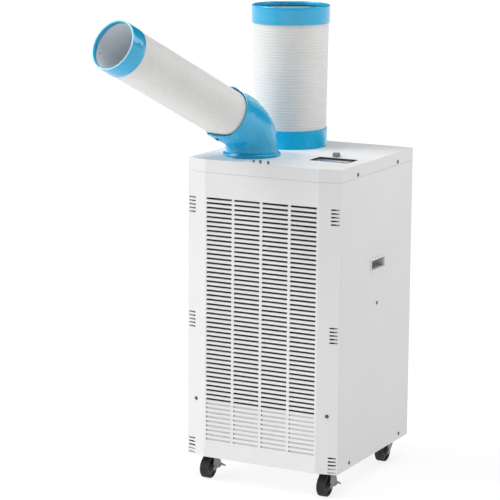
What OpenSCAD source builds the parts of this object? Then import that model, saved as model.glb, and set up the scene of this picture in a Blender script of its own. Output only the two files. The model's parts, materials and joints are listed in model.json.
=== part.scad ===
/* [Cabinet] */
// Width of the cabinet
body_w = 380; // [370:1:390]
// Depth of the cabinet
body_d = 401; // [396:1:406]
// Height of the cabinet without its casters
body_h = 689; // [680:1:700]
// Height of the casters, from the floor to the cabinet
caster_h = 60; // [60:1:64]
// Width of each slanted strip at the front corners
chamfer_w = 49; // [45:1:52]
// How far each slanted strip falls back
chamfer_d = 11.5; // [10:0.5:13]
// Height of the skirt of the top cover
skirt_h = 29; // [26:1:32]
// Wall thickness of the covers and panels
wall = 2.5; // [2:0.1:3]

/* [Front louvres] */
// Open rows of louvres
open_rows = 45; // [30:1:45]
// Closed rows of louvres under them
blind_rows = 9; // [0:1:9]
// Distance from row to row
row_pitch = 10.54; // [10:0.01:10.6]
// Height of the top row above the cabinet's underside
top_row_h = 601.5; // [595:0.5:603]
// Height of the opening of a row
slot_h = 5.4; // [3:0.1:6]
// Width of a louvre column
column_w = 63.5; // [60:0.5:65]
// Rib between two louvre columns
column_gap = 6.6; // [5:0.1:8]
// Backward slope of the slats, in degrees
slat_tilt = 24; // [0:1:30]

/* [Cold air outlet] */
// Left to right place of the outlet
cold_x = -82; // [-84:1:-80]
// Front to back place of the outlet
cold_y = -89; // [-91:1:-87]
// Height above the top cover where the duct's axis crosses the outlet's axis
bend_h = 57.7; // [56:0.1:60]
// Bend radius of the elbow
bend_r = 72; // [68:1:74]
// Outer radius of the elbow
elbow_r = 59.5; // [59.5:0.5:61]
// Outer radius of the cold duct
duct_r = 56; // [54:0.5:56]
// Rise of the cold duct, in degrees
duct_rise = 27; // [20:1:35]
// Turn of the cold duct from straight ahead, in degrees
duct_turn = 15; // [0:1:25]
// Reach of the cold duct from the crossing of the axes
duct_reach = 490; // [460:1:520]

/* [Warm air outlet] */
// Left to right place of the outlet
hot_x = -79; // [-80:1:-78]
// Front to back place of the outlet
hot_y = 97; // [96:1:98]
// Radius of the warm duct at its foot
hot_r = 85.2; // [84:0.1:86]
// Radius of the warm duct at its top
hot_top_r = 89; // [88:0.1:89]
// Height of the warm duct with its collars
hot_h = 328; // [300:1:340]

/* [Casters] */
// Diameter of a wheel
wheel_d = 50; // [46:1:50]
// Width of a tread
tread_w = 20; // [16:1:20]
// Distance from the swivel axis to the wheel's axle
trail = 14; // [10:1:16]
// Left to right place of the casters
caster_x = 149; // [147:1:151]
// Front to back place of the front casters
caster_front_y = -152; // [-154:1:-150]
// Front to back place of the rear casters
caster_rear_y = 166; // [163:1:167]

/* [Hidden] */
$fn = 72;

gap = 0.4;
small = 1;
side_x = body_w / 2;
front_y = -body_d / 2;
rear_y = body_d / 2;
base_z = caster_h;
top_z = base_z + body_h;
panel_top = top_z - skirt_h - gap;
chamfer_angle = atan(chamfer_d / chamfer_w);
chamfer_len = norm([chamfer_w, chamfer_d]);
front_half = side_x - chamfer_w;
seam_y = front_y + chamfer_d + 2.5;
deck_z = base_z + wall;
shelf_z = base_z + 320;
shelf_t = 2;

// Side view places of the cabinet screws: [y, height above the underside]
skirt_screws = [[-103, 667], [114, 667]];
panel_screws = [[-126, 13], [150, 13], [11, 356]];
chamfer_screw_h = 134;
screw_r = 2;
screw_head_r = 4.4;
screw_head_h = 1.6;

// Hand grips in the side panels
grip_y = 12.5;
grip_z = base_z + 447;
grip_w = 74;
grip_h = 26;
grip_depth = 26;

// Drain tank
tank_x0 = -160;
tank_x1 = -22;
tank_y0 = 52;
tank_z0 = base_z + 8;
tank_z1 = base_z + 128;
tank_play = 2;

// Cooling coils
coil_half = 138;
coil_y0 = -182;
coil_y1 = -142;
coil_tube_r = 4;
coil_bend_r = 10;
evaporator_z0 = base_z + 341;
evaporator_h = 238;
condenser_z0 = base_z + 66;
condenser_h = 240;

// Fans, on one shaft along Y
fan_x = -20;
fan_z = base_z + 460;
shaft_r = 6;
cold_scroll_r = 112;
hot_scroll_r = 125;
cold_scroll_y0 = -134;
hot_scroll_y0 = 52;
scroll_depth = 90;
scroll_w = 110;
sheet = 2;

// Compressor
comp_x = 98;
comp_y = 95;
comp_r = 56;
comp_z0 = deck_z + 12;
comp_h = 240;

// Control recess in the top cover
tray_x0 = 64;
tray_x1 = 162;
tray_y0 = -95;
tray_y1 = -38;
tray_depth = 12;
tray_floor_z = top_z - tray_depth + 2;
knob_x = 98;
knob_y = -21;

// Power cord gland
gland_x = 120;
gland_z = base_z + 60;

// Direction of the cold duct
duct_heading = -90 - duct_turn;
heading = [cos(duct_heading), sin(duct_heading), 0];
duct_dir = cos(duct_rise) * heading + [0, 0, sin(duct_rise)];
crossing = [cold_x, cold_y, top_z + bend_h];
bend_angle = 90 - duct_rise;
bend_run = bend_r * tan(bend_angle / 2);
elbow_wall = 3;
socket_r = elbow_r + 2;
pivot_d = 97;
lower_ear_r = 31;
upper_ear_r = 13;
duct_start = pivot_d - 5;
collar_len = 43;
duct_wall = 3;
collar_r = 57.5;
hot_collar_h = 43;
hot_top_collar_h = 42;
hot_duct_inner = 82;

corners = [[-1, caster_front_y], [1, caster_front_y], [-1, caster_rear_y], [1, caster_rear_y]];
axle_z = wheel_d / 2;
axle_r = 4;
pedal_y = 16;
pedal_z = 24;

function unit(v) = v / norm(v);

// Outline of the cabinet seen from above, drawn in by i on every side
function cabinet_outline(i) =
  let (fx = front_half - i * tan(chamfer_angle / 2),
       sy = front_y + chamfer_d + i * (1 - sin(chamfer_angle)) / cos(chamfer_angle),
       sx = side_x - i)
  [[-fx, front_y + i], [fx, front_y + i], [sx, sy], [sx, rear_y - i],
   [-sx, rear_y - i], [-sx, sy]];

// A box given by its two far corners
module block(a, b) {
  translate(a) cube(b - a);
}

// A round bar from a to b
module bar(a, b, r) {
  d = unit(b - a);
  translate(a) rotate([0, acos(d.z), atan2(d.y, d.x)]) cylinder(h = norm(b - a), r = r);
}

// A piece of ring-shaped bend at the corner p of a pipe
module corner(p, d_in, d_out, bend, r) {
  turn = acos(d_in * d_out);
  n = unit(d_out - (d_out * d_in) * d_in);
  c = p - bend * tan(turn / 2) * d_in + bend * n;
  w = cross(-n, d_in);
  multmatrix([[-n.x, d_in.x, w.x, c.x], [-n.y, d_in.y, w.y, c.y], [-n.z, d_in.z, w.z, c.z],
    [0, 0, 0, 1]]) rotate_extrude(angle = turn) translate([bend, 0]) circle(r);
}

// A pipe through the points p, with a round bend at each inner point
module pipe(p, r, bend) {
  last = len(p) - 1;
  d = [for (i = [0 : last - 1]) unit(p[i + 1] - p[i])];
  cut = [for (i = [0 : last])
    i == 0 || i == last ? 0 : bend * tan(acos(d[i - 1] * d[i]) / 2)];
  for (i = [0 : last - 1]) bar(p[i] + cut[i] * d[i], p[i + 1] - cut[i + 1] * d[i], r);
  for (i = [1 : 1 : last - 1]) corner(p[i], d[i - 1], d[i], bend, r);
}

// Moves a child drawn along Z onto the duct's axis, d from the crossing of the axes
module on_duct(d) {
  translate(crossing + d * duct_dir) rotate([0, 90 - duct_rise, duct_heading]) children();
}

module ring(r_out, r_in, h) {
  difference() {
    cylinder(h = h, r = r_out);
    translate([0, 0, -small]) cylinder(h = h + 2 * small, r = r_in);
  }
}

// ---- Cabinet ----

module base_pan() color("gainsboro") difference() {
  union() {
    translate([0, 0, base_z]) linear_extrude(wall) polygon(cabinet_outline(wall + gap));
    translate([0, 0, base_z + small]) linear_extrude(17) difference() {
      polygon(cabinet_outline(wall + gap));
      polygon(cabinet_outline(wall + gap + sheet));
    }
    for (x = [tank_x0 + 8, tank_x1 - 14])
      block([x, tank_y0 + 8, deck_z - small], [x + 6, 190, tank_z0 - gap]);
  }
  block([-side_x, rear_y - 12, deck_z], [side_x, rear_y, base_z + 30]);
  for (c = corners) for (x = [-20, 20], y = [-15, 15])
    translate([c[0] * caster_x + x, c[1] + y, base_z - small]) cylinder(h = 6, r = 3.1);
  for (y = [panel_screws[0][0], panel_screws[1][0]]) for (s = [-1, 1])
    translate([s * side_x, y, base_z + 13]) rotate([0, -s * 90, 0]) cylinder(h = 12, r = screw_r);
}

module corner_posts() color("silver") {
  for (s = [-1, 1]) {
    post(s, -178, 1);
    post(s, rear_y - wall - gap - 2, -1);
  }
}

// An angle section, in the corner of the cabinet at side s
module post(s, y, inward) {
  translate([s * (side_x - wall - 3), y, deck_z + 0.2]) mirror([s > 0 ? 1 : 0, 0, 0])
    mirror([0, inward < 0 ? 1 : 0, 0]) linear_extrude(top_z - wall - deck_z - 1)
      polygon([[0, 0], [20, 0], [20, sheet], [sheet, sheet], [sheet, 20], [0, 20]]);
}

module front_cover() color("whitesmoke") difference() {
  translate([0, 0, base_z]) linear_extrude(panel_top - base_z) difference() {
    intersection() {
      polygon(cabinet_outline(0));
      translate([-side_x - small, front_y - small]) square([body_w + 2, seam_y - front_y + small]);
    }
    polygon(cabinet_outline(wall));
  }
  louvre_cuts();
  for (s = [-1, 1]) {
    for (h = [583.5, 318.5, 21.5]) for (k = [-2 : 2])
      on_chamfer(s, base_z + h + k * 8.3)
        translate([0.57 * chamfer_len, -small, -1.8]) cube([0.37 * chamfer_len, wall + 3, 3.6]);
    on_chamfer(s, base_z + chamfer_screw_h) translate([0.5 * chamfer_len, 6, 0])
      rotate([90, 0, 0]) cylinder(h = 12, r = screw_r);
  }
}

// Puts a child on the slanted strip at side s, with X running outwards along it
module on_chamfer(s, z) {
  mirror([s < 0 ? 1 : 0, 0, 0]) translate([front_half, front_y, z]) rotate([0, 0, chamfer_angle])
    children();
}

module louvre_cuts() {
  for (c = [0 : 3]) {
    x = (c - 1.5) * (column_w + column_gap);
    for (k = [0 : open_rows - 1])
      translate([x, front_y + wall / 2, base_z + top_row_h - k * row_pitch])
        rotate([slat_tilt, 0, 0]) cube([column_w, 3 * wall, slot_h * 0.92], center = true);
    for (k = [0 : 1 : blind_rows - 1])
      translate([x, front_y, base_z + top_row_h - (open_rows + k) * row_pitch])
        union() {
          cube([column_w, 3.6, slot_h * 0.75], center = true);
          translate([1 - column_w / 2, 0, 0]) cube([2, 3 * wall, slot_h * 0.75], center = true);
        }
  }
}

module side_panel(s) mirror([s < 0 ? 1 : 0, 0, 0]) difference() {
  union() {
    block([side_x - wall, seam_y + gap, base_z], [side_x, rear_y, panel_top]);
    block([side_x - 14, seam_y + gap, base_z + 30], [side_x - wall, seam_y + gap + 1.5, panel_top - 10]);
  }
  block([side_x - 5, grip_y - grip_w / 2 - 0.3, grip_z - grip_h / 2 - 0.3],
    [side_x + small, grip_y + grip_w / 2 + 0.3, grip_z + grip_h / 2 + 0.3]);
  for (p = panel_screws) translate([side_x - 6, p[0], base_z + p[1]]) rotate([0, 90, 0])
    cylinder(h = 12, r = screw_r);
}

module left_side_panel() color("whitesmoke") side_panel(-1);
module right_side_panel() color("whitesmoke") side_panel(1);

module rear_panel() color("whitesmoke") difference() {
  block([-side_x + wall + gap, rear_y - wall, base_z], [side_x - wall - gap, rear_y, panel_top]);
  block([tank_x0 - tank_play, rear_y - 10, tank_z0 - tank_play],
    [tank_x1 + tank_play, rear_y + small, tank_z1 + tank_play]);
  for (x = [-110, -36.5, 36.5, 110]) for (k = [0 : 13])
    translate([x, rear_y - wall / 2, base_z + 300 + k * 14]) cube([62, 10, 5], center = true);
  translate([gland_x, rear_y + small, gland_z]) rotate([90, 0, 0]) cylinder(h = 8, r = 9.2);
}

module top_cover() color("white") difference() {
  translate([0, 0, top_z - skirt_h]) linear_extrude(skirt_h) polygon(cabinet_outline(0));
  translate([0, 0, top_z - skirt_h - small]) linear_extrude(skirt_h - wall + small)
    polygon(cabinet_outline(wall));
  translate([cold_x, cold_y, top_z - 10]) cylinder(h = 20, r = elbow_r - elbow_wall + 0.6);
  translate([hot_x, hot_y, top_z - 10]) cylinder(h = 20, r = hot_duct_inner - 2);
  block([tray_x0, tray_y0, top_z - 10], [tray_x1, tray_y1, top_z + 5]);
  translate([knob_x, knob_y, top_z - 10]) cylinder(h = 20, r = 5.2);
  for (s = [-1, 1]) for (p = skirt_screws)
    translate([s * side_x, p[0], base_z + p[1]]) rotate([0, 90, 0])
      cylinder(h = 12, r = screw_r, center = true);
}

module handle_cup(s) mirror([s < 0 ? 1 : 0, 0, 0]) difference() {
  union() {
    translate([side_x, grip_y, grip_z]) translate([0, -grip_w / 2 - 3, -grip_h / 2 - 3])
      cube([1.5, grip_w + 6, grip_h + 6]);
    block([side_x - grip_depth, grip_y - grip_w / 2, grip_z - grip_h / 2],
      [side_x + small, grip_y + grip_w / 2, grip_z + grip_h / 2]);
  }
  block([side_x - grip_depth + 2, grip_y - grip_w / 2 + 2, grip_z - grip_h / 2 + 2],
    [side_x + 5, grip_y + grip_w / 2 - 2, grip_z + grip_h / 2 - 2]);
}

module left_handle_cup() color("gainsboro") handle_cup(-1);
module right_handle_cup() color("gainsboro") handle_cup(1);

module cabinet_screws() color("slategray") {
  for (s = [-1, 1]) {
    for (p = concat(skirt_screws, panel_screws))
      mirror([s < 0 ? 1 : 0, 0, 0]) translate([side_x, p[0], base_z + p[1]]) rotate([0, 90, 0]) screw();
    on_chamfer(s, base_z + chamfer_screw_h) translate([0.5 * chamfer_len, 0, 0])
      rotate([90, 0, 0]) screw();
  }
}

// A pan head screw along Z, with its head's seat at z = 0
module screw() {
  cylinder(h = screw_head_h, r = screw_head_r);
  translate([0, 0, -7]) cylinder(h = 7.5, r = screw_r - 0.1);
}

// ---- Air filters and cooling coils ----

module filter(z0, h) {
  block([-coil_half, front_y + wall + 1.5, z0], [coil_half, front_y + wall + 7.5, z0 + h]);
}

module filter_frame(z0, h) difference() {
  filter(z0, h);
  for (x = [-coil_half + 6, 3]) for (k = [0 : 2])
    block([x, front_y, z0 + 6 + k * (h - 6) / 3],
      [x + coil_half - 9, front_y + wall + 6, z0 + (k + 1) * (h - 6) / 3]);
}

module upper_filter() color("dimgray") filter_frame(base_z + 336, 244);
module lower_filter() color("dimgray") filter_frame(base_z + 70, 244);

// A finned coil: the fin pack between two end plates, with a row of return bends at each end
module coil(z0, h) {
  block([-coil_half + 3, coil_y0 + 1, z0], [coil_half - 3, coil_y1 - 1, z0 + h]);
  for (s = [-1, 1]) {
    block([s * coil_half - 1.5, coil_y0, z0], [s * coil_half + 1.5, coil_y1, z0 + h]);
    block([s * (coil_half - 2) - 1.2, coil_y0 + 1, z0], [s * (coil_half - 2) + 1.2, coil_y1 - 1, z0 + h]);
    for (k = [0 : 5]) translate([s * (coil_half + 1), (coil_y0 + coil_y1) / 2,
        z0 + 24 + k * (h - 48) / 5])
      rotate([90, 0, s > 0 ? 0 : 180]) rotate([0, 0, -90]) rotate_extrude(angle = 180)
        translate([coil_bend_r, 0]) circle(coil_tube_r);
  }
}

module evaporator() color("lightsteelblue") coil(evaporator_z0, evaporator_h);
module condenser() color("silver") coil(condenser_z0, condenser_h);

module drain_pan() color("white") difference() {
  block([-155, coil_y0 - 4, base_z + 325], [155, coil_y1 + 18, base_z + 339]);
  block([-153, coil_y0 - 2, base_z + 327], [153, coil_y1 + 16, base_z + 345]);
}

module mid_shelf() color("silver") difference() {
  block([-side_x + wall + 1, -116, shelf_z], [side_x - wall - 1, rear_y - wall - 2, shelf_z + shelf_t]);
  for (s = [-1, 1])
    block([s * 180 - 20, rear_y - 40, shelf_z - small], [s * 180 + 20, rear_y, shelf_z + 5]);
  block([30, -90, shelf_z - small], [150, 35, shelf_z + 5]);
  block([-146, -90, shelf_z - small], [-70, 35, shelf_z + 5]);
  translate([-158, -100, shelf_z - small]) cylinder(h = 5, r = 4.5);
}

// ---- Fans ----

// Spiral housing: a round case with a square outlet rising from its left side
module scroll(r, y0, outlet_x, eye_r) {
  outlet_r = outlet_x + scroll_w / 2;
  outlet_l = outlet_x - scroll_w / 2;
  translate([0, y0 + scroll_depth, 0]) rotate([90, 0, 0]) linear_extrude(scroll_depth) difference() {
    union() {
      translate([fan_x, fan_z]) circle(r);
      translate([outlet_l, fan_z]) square([scroll_w, top_z - wall - 2 - fan_z]);
    }
    translate([fan_x, fan_z]) circle(r - sheet);
    translate([outlet_l + sheet, fan_z]) square([scroll_w - 2 * sheet, top_z - fan_z]);
  }
  for (y = [y0, y0 + scroll_depth - sheet])
    translate([0, y + sheet, 0]) rotate([90, 0, 0]) linear_extrude(sheet) difference() {
      union() {
        translate([fan_x, fan_z]) circle(r - sheet / 2);
        translate([outlet_l + small, fan_z]) square([scroll_w - 2, top_z - wall - 2 - fan_z]);
      }
      translate([fan_x, fan_z]) circle(y == y0 ? eye_r : 20);
    }
}

module cold_scroll() color("gainsboro") scroll(cold_scroll_r, cold_scroll_y0, cold_x, 66);
module hot_scroll() color("gainsboro") scroll(hot_scroll_r, hot_scroll_y0, hot_x, 72);

// Drum fan wheel with forward-curved blades between a back disc and a rim
module drum_wheel(r, y0, h, blades) {
  translate([fan_x, y0 + h, fan_z]) rotate([90, 0, 0]) difference() {
    union() {
      cylinder(h = 2, r = r);
      cylinder(h = 22, r = 13);
      translate([0, 0, h - 3]) difference() {
        cylinder(h = 3, r = r);
        translate([0, 0, -small]) cylinder(h = 6, r = r - 14);
      }
      for (k = [0 : blades - 1]) rotate([0, 0, k * 360 / blades])
        translate([r - 7, 0, h / 2]) rotate([0, 0, 35]) cube([12, 1.4, h - 1], center = true);
    }
    translate([0, 0, -small]) cylinder(h = h, r = shaft_r);
  }
}

module cold_wheel() color("dimgray") drum_wheel(88, cold_scroll_y0 + 10, 66, 30);
module hot_wheel() color("dimgray") drum_wheel(96, hot_scroll_y0 + 12, 66, 30);

module fan_motor() color("slategray") translate([fan_x, 44, fan_z]) rotate([90, 0, 0]) difference() {
  union() {
    cylinder(h = 80, r = 44);
    translate([0, 0, -4]) cylinder(h = 88, r = 18);
    for (k = [0 : 11]) rotate([0, 0, 30 * k + 15]) translate([40, -1.5, 10]) cube([9, 3, 60]);
  }
  translate([0, 0, -10]) cylinder(h = 110, r = shaft_r + 0.05);
}

module fan_shaft() color("silver") translate([fan_x, 132, fan_z]) rotate([90, 0, 0])
  cylinder(h = 250, r = shaft_r);

module motor_bracket() color("silver") difference() {
  block([fan_x - 34, -24, shelf_z + shelf_t], [fan_x + 34, 30, fan_z]);
  translate([fan_x, 60, fan_z]) rotate([90, 0, 0]) cylinder(h = 120, r = 50.2);
  block([fan_x - 31, -40, shelf_z + shelf_t + 3], [fan_x + 31, 40, fan_z - 54]);
}

// ---- Refrigerant circuit ----

module compressor() color("dimgray") translate([comp_x, comp_y, comp_z0]) {
  rotate_extrude() polygon([[0, 3], [comp_r - 8, 3], [comp_r, 12], [comp_r, comp_h - 26],
    [comp_r - 6, comp_h - 12], [comp_r - 24, comp_h - 3], [0, comp_h]]);
  for (k = [0 : 2]) rotate([0, 0, 90 + 120 * k]) difference() {
    translate([20, -13, 0]) cube([58, 26, 4]);
    translate([66, 0, -small]) cylinder(h = 8, r = 5);
  }
}

module compressor_mounts() color("black") for (k = [0 : 2])
  translate([comp_x, comp_y, deck_z]) rotate([0, 0, 90 + 120 * k]) translate([66, 0, 0]) {
    cylinder(h = 11.8, r = 10);
    cylinder(h = 20, r = 4.8);
    translate([0, 0, 16.4]) cylinder(h = 3.6, r = 9);
  }

module accumulator() color("dimgray") translate([comp_x, comp_y - 90, comp_z0 + 40])
  rotate_extrude() polygon([[0, 0], [12, 2], [25, 12], [25, 140], [12, 150], [0, 152]]);

module discharge_pipe() color("chocolate")
  pipe([[comp_x, comp_y, comp_z0 + comp_h + 0.2], [comp_x, comp_y, shelf_z - 16],
    [162, comp_y, shelf_z - 16], [162, -130, shelf_z - 16]], 5, 14);

module suction_pipe() color("chocolate")
  pipe([[comp_x, comp_y - 90, comp_z0 + 192.2], [comp_x, comp_y - 90, shelf_z + 60],
    [comp_x, -125, shelf_z + 60], [158, -125, shelf_z + 60], [158, -140, shelf_z + 60]], 6, 12);

module liquid_line() color("chocolate") {
  pipe([[-158, -136, condenser_z0 + 20], [-158, -100, condenser_z0 + 20],
    [-158, -100, shelf_z + 40], [-158, -136, shelf_z + 40]], 3, 12);
  translate([-158, -100, condenser_z0 + 70]) cylinder(h = 90, r = 11);
}

module drain_hose() color("lightgray")
  pipe([[-130, -124, base_z + 324.8], [-130, -124, shelf_z - 12], [-130, 110, shelf_z - 12],
    [-130, 110, tank_z1 + 12]], 7, 12);

module drain_tank() color("whitesmoke") difference() {
  union() {
    block([tank_x0 + 2, tank_y0, tank_z0], [tank_x1 - 2, rear_y - 4, tank_z1 - 2]);
    block([tank_x0, rear_y - 4, tank_z0], [tank_x1, rear_y, tank_z1]);
  }
  block([tank_x0 + 5, tank_y0 + 3, tank_z0 + 3], [tank_x1 - 5, rear_y - 21, tank_z1 + 5]);
  block([tank_x0 + 40, rear_y - 17, tank_z0 + 70], [tank_x1 - 40, rear_y + small, tank_z0 + 98]);
}

// ---- Electrical parts and controls ----

module electrical_box() color("silver") difference() {
  block([66, -112, base_z + 590], [side_x - wall - gap, -22, base_z + 648]);
  block([68, -110, base_z + 592], [side_x - wall - gap - 2, -24, base_z + 655]);
}

module control_board() color("darkgreen") {
  block([76, -104, base_z + 596], [176, -60, base_z + 597.6]);
  for (x = [84, 106, 132]) block([x, -98, base_z + 597.6], [x + 15, -82, base_z + 612]);
  for (x = [80, 170]) for (y = [-100, -64]) translate([x, y, base_z + 592])
    cylinder(h = 4, r = 2.5);
}

module run_capacitor() color("lightgray") translate([84, -41, base_z + 609]) rotate([0, 90, 0])
  cylinder(h = 80, r = 16);

module control_tray() color("lightgray") difference() {
  block([tray_x0 + 0.3, tray_y0 + 0.3, top_z - tray_depth], [tray_x1 - 0.3, tray_y1 - 0.3, top_z - 0.3]);
  block([tray_x0 + 2.3, tray_y0 + 2.3, tray_floor_z], [tray_x1 - 2.3, tray_y1 - 2.3, top_z + 5]);
}

// Plate on the rear wall of the recess
module control_label() color("steelblue")
  block([tray_x0 + 4, tray_y1 - 2.9, tray_floor_z + 0.4], [tray_x1 - 4, tray_y1 - 2.3, top_z - 4.8]);

module rotary_switch() color("dimgray") translate([knob_x, knob_y, top_z]) difference() {
  union() {
    translate([-15, -14, -28]) cube([30, 28, 28 - wall - 0.2]);
    translate([0, 0, -4]) cylinder(h = 5.2, r = 5);
  }
  translate([0, 0, -16]) cylinder(h = 20, r = 3.05);
}

module mode_knob() color("darkgray") translate([knob_x, knob_y, top_z]) difference() {
  union() {
    translate([0, 0, 1.7]) cylinder(h = 2.6, r = 9.5);
    translate([0, 0, 4]) cylinder(h = 5.6, r = 8.5);
    translate([0, 0, -15]) cylinder(h = 17, r = 3);
  }
  translate([-0.8, 3, 8.8]) cube([1.6, 8, 4]);
}

module cord_gland() color("black") translate([gland_x, rear_y, gland_z]) rotate([90, 0, 0])
  difference() {
    union() {
      translate([0, 0, -6]) cylinder(h = 6, r = 13);
      translate([0, 0, -small]) cylinder(h = 10, r = 9);
    }
    translate([0, 0, -10]) cylinder(h = 25, r = 4.5);
  }

// ---- Cold air outlet ----

module outlet_ring() color("deepskyblue") translate([cold_x, cold_y, top_z]) difference() {
  union() {
    cylinder(h = 2, r = elbow_r + 6);
    translate([0, 0, -4]) cylinder(h = 16, r = elbow_r - elbow_wall + 0.3);
  }
  translate([0, 0, -10]) cylinder(h = 40, r = elbow_r - elbow_wall - 3);
}

// The elbow's shape: foot, bend and straight length of radius r, its ends step out by 0.6
module elbow_sweep(r, low, end) {
  translate([cold_x, cold_y, low]) cylinder(h = top_z + bend_h - bend_run + 1 - low, r = r + 0.6);
  corner(crossing, [0, 0, 1], duct_dir, bend_r, r);
  on_duct(bend_run - 1) cylinder(h = end - bend_run + 1, r = r + 0.6);
}

// The elbow's mouth: a socket with a rounded ear below it and a smaller one above it
module elbow_mouth() on_duct(pivot_d) intersection() {
  translate([0, 0, -20]) cylinder(h = 60, r = socket_r);
  union() {
    translate([-80, -80, -50]) cube([160, 160, 51]);
    rotate([0, 90, 0]) cylinder(h = 80, r = lower_ear_r);
    rotate([0, -90, 0]) cylinder(h = 80, r = upper_ear_r);
  }
}

module elbow() color("deepskyblue") difference() {
  union() {
    elbow_sweep(elbow_r, top_z + 2.3, pivot_d - 18);
    translate([cold_x, cold_y, top_z + 2.3]) cylinder(h = 4.5, r = elbow_r + 6.3);
    elbow_mouth();
  }
  elbow_sweep(elbow_r - elbow_wall, top_z + 1, pivot_d - 15);
  on_duct(pivot_d - 16) cylinder(h = 60, r = duct_r + 2.8);
  on_duct(pivot_d) rotate([0, 90, 0]) cylinder(h = 160, r = 2.5, center = true);
}

// Two screws that the duct swings on, through the elbow's ears
module pivot_screws() color("slategray") for (side = [-1, 1])
  on_duct(pivot_d) rotate([0, side * 90, 0]) {
    translate([0, 0, duct_r - 2.7]) cylinder(h = socket_r - duct_r + 2.9, r = 2.4);
    translate([0, 0, socket_r + 0.1]) cylinder(h = 1.8, r = 4.2);
  }

module cold_duct() color("white") difference() {
  on_duct(duct_start) ring(duct_r, duct_r - duct_wall, duct_reach - duct_start - 12);
  on_duct(pivot_d) rotate([0, 90, 0]) cylinder(h = 160, r = 2.5, center = true);
  at_collar_screws() cylinder(h = 20, r = 1.55);
}

// Places a child, drawn along Z from the duct's axis outwards, at both screws of the end collar
module at_collar_screws() {
  for (a = [-75, 105])
    on_duct(duct_reach - 22) rotate([0, 0, a]) translate([duct_r - 10, 0, 0]) rotate([0, 90, 0]) children();
}

module cold_duct_collar() color("deepskyblue") difference() {
  union() {
    on_duct(duct_reach - collar_len) ring(collar_r, duct_r + 0.2, collar_len - 9);
    on_duct(duct_reach - 10) ring(collar_r, duct_r - duct_wall, 10);
  }
  at_collar_screws() cylinder(h = 20, r = 3.05);
}

module collar_screws() color("slategray") at_collar_screws() {
  translate([0, 0, 7.5]) cylinder(h = 3.2, r = 1.5);
  translate([0, 0, 10.25]) cylinder(h = collar_r - duct_r - 0.35, r = 3);
}

// ---- Warm air outlet ----

module exhaust_base_collar() color("deepskyblue") translate([hot_x, hot_y, top_z])
  ring(hot_r + 2.6, hot_r + 0.6, hot_collar_h);

module exhaust_duct() color("white") translate([hot_x, hot_y, top_z + 3]) difference() {
  rotate_extrude() polygon([[hot_duct_inner, 0], [hot_r, 0], [hot_r, hot_collar_h],
    [hot_top_r - 0.6, hot_h - hot_top_collar_h - 6], [hot_top_r - 0.6, hot_h - 12],
    [hot_duct_inner, hot_h - 12]]);
}

module exhaust_top_collar() color("deepskyblue") translate([hot_x, hot_y, top_z + hot_h - hot_top_collar_h])
  difference() {
    cylinder(h = hot_top_collar_h, r = hot_top_r + 2);
    translate([0, 0, -small]) cylinder(h = hot_top_collar_h - 8 + small, r = hot_top_r - 0.2);
    cylinder(h = hot_top_collar_h + 5, r = hot_duct_inner + 1);
  }

// ---- Casters ----

module caster_plates() color("dimgray") for (c = corners)
  translate([c[0] * caster_x, c[1], 0]) difference() {
    union() {
      translate([-28, -23, base_z - 2.5]) cube([56, 46, 2.5]);
      translate([0, 0, base_z - 6]) cylinder(h = 4, r = 17);
      translate([0, 0, base_z - 9.3]) cylinder(h = 8, r = axle_r);
      translate([0, 0, base_z - 10]) cylinder(h = 1.1, r = 6);
    }
    for (x = [-20, 20], y = [-15, 15]) translate([x, y, base_z - 5]) cylinder(h = 8, r = 3.1);
  }

module caster_screws() color("silver") for (c = corners) for (x = [-20, 20], y = [-15, 15])
  translate([c[0] * caster_x + x, c[1] + y, base_z - 2.5]) {
    translate([0, 0, -2]) cylinder(h = 2, r = 4.5);
    translate([0, 0, -small]) cylinder(h = 8, r = 3);
  }

// Fork of a caster: a round crown, two legs, the wheel's axle and its two nuts
module fork(i, braked) color("lightslategray") translate([corners[i][0] * caster_x, corners[i][1], 0]) {
  difference() {
    union() {
      translate([0, 0, base_z - 8.8]) cylinder(h = 2.5, r = 18);
      for (s = [-1, 1]) translate([s * 14 - 1, 0, 0]) rotate([90, 0, 90]) linear_extrude(2) {
        polygon(concat([[-11, base_z - 7], [11, base_z - 7]],
          braked ? [[21, pedal_z + 3], [21, pedal_z - 4], [10, pedal_z - 5]] : [[11, 40], [8, 35]],
          [[6.4 - trail, axle_z - 4], [-6.4 - trail, axle_z - 2]]));
        translate([-trail, axle_z]) circle(7);
      }
    }
    translate([0, 0, base_z - 20]) cylinder(h = 20, r = axle_r + 0.05);
    translate([-20, -trail, axle_z]) rotate([0, 90, 0]) cylinder(h = 40, r = axle_r + 0.05);
    if (braked) translate([-20, pedal_y, pedal_z]) rotate([0, 90, 0]) cylinder(h = 40, r = 2.55);
  }
  translate([-15, -trail, axle_z]) rotate([0, 90, 0]) cylinder(h = 30, r = axle_r);
  for (x = [-17, 15]) translate([x, -trail, axle_z]) rotate([0, 90, 0]) cylinder(h = 2, r = 6);
}

module caster_wheel(i) color("black")
  translate([corners[i][0] * caster_x, corners[i][1] - trail, axle_z]) rotate([0, 90, 0])
    rotate_extrude() polygon([[axle_r + 0.05, -12], [9, -12], [9, -6], [19, -6], [20.5, -tread_w / 2],
      [23.5, -tread_w / 2], [wheel_d / 2, -tread_w / 2 + 3], [wheel_d / 2, tread_w / 2 - 3],
      [23.5, tread_w / 2], [20.5, tread_w / 2], [19, 6], [9, 6], [9, 12], [axle_r + 0.05, 12]]);

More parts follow.
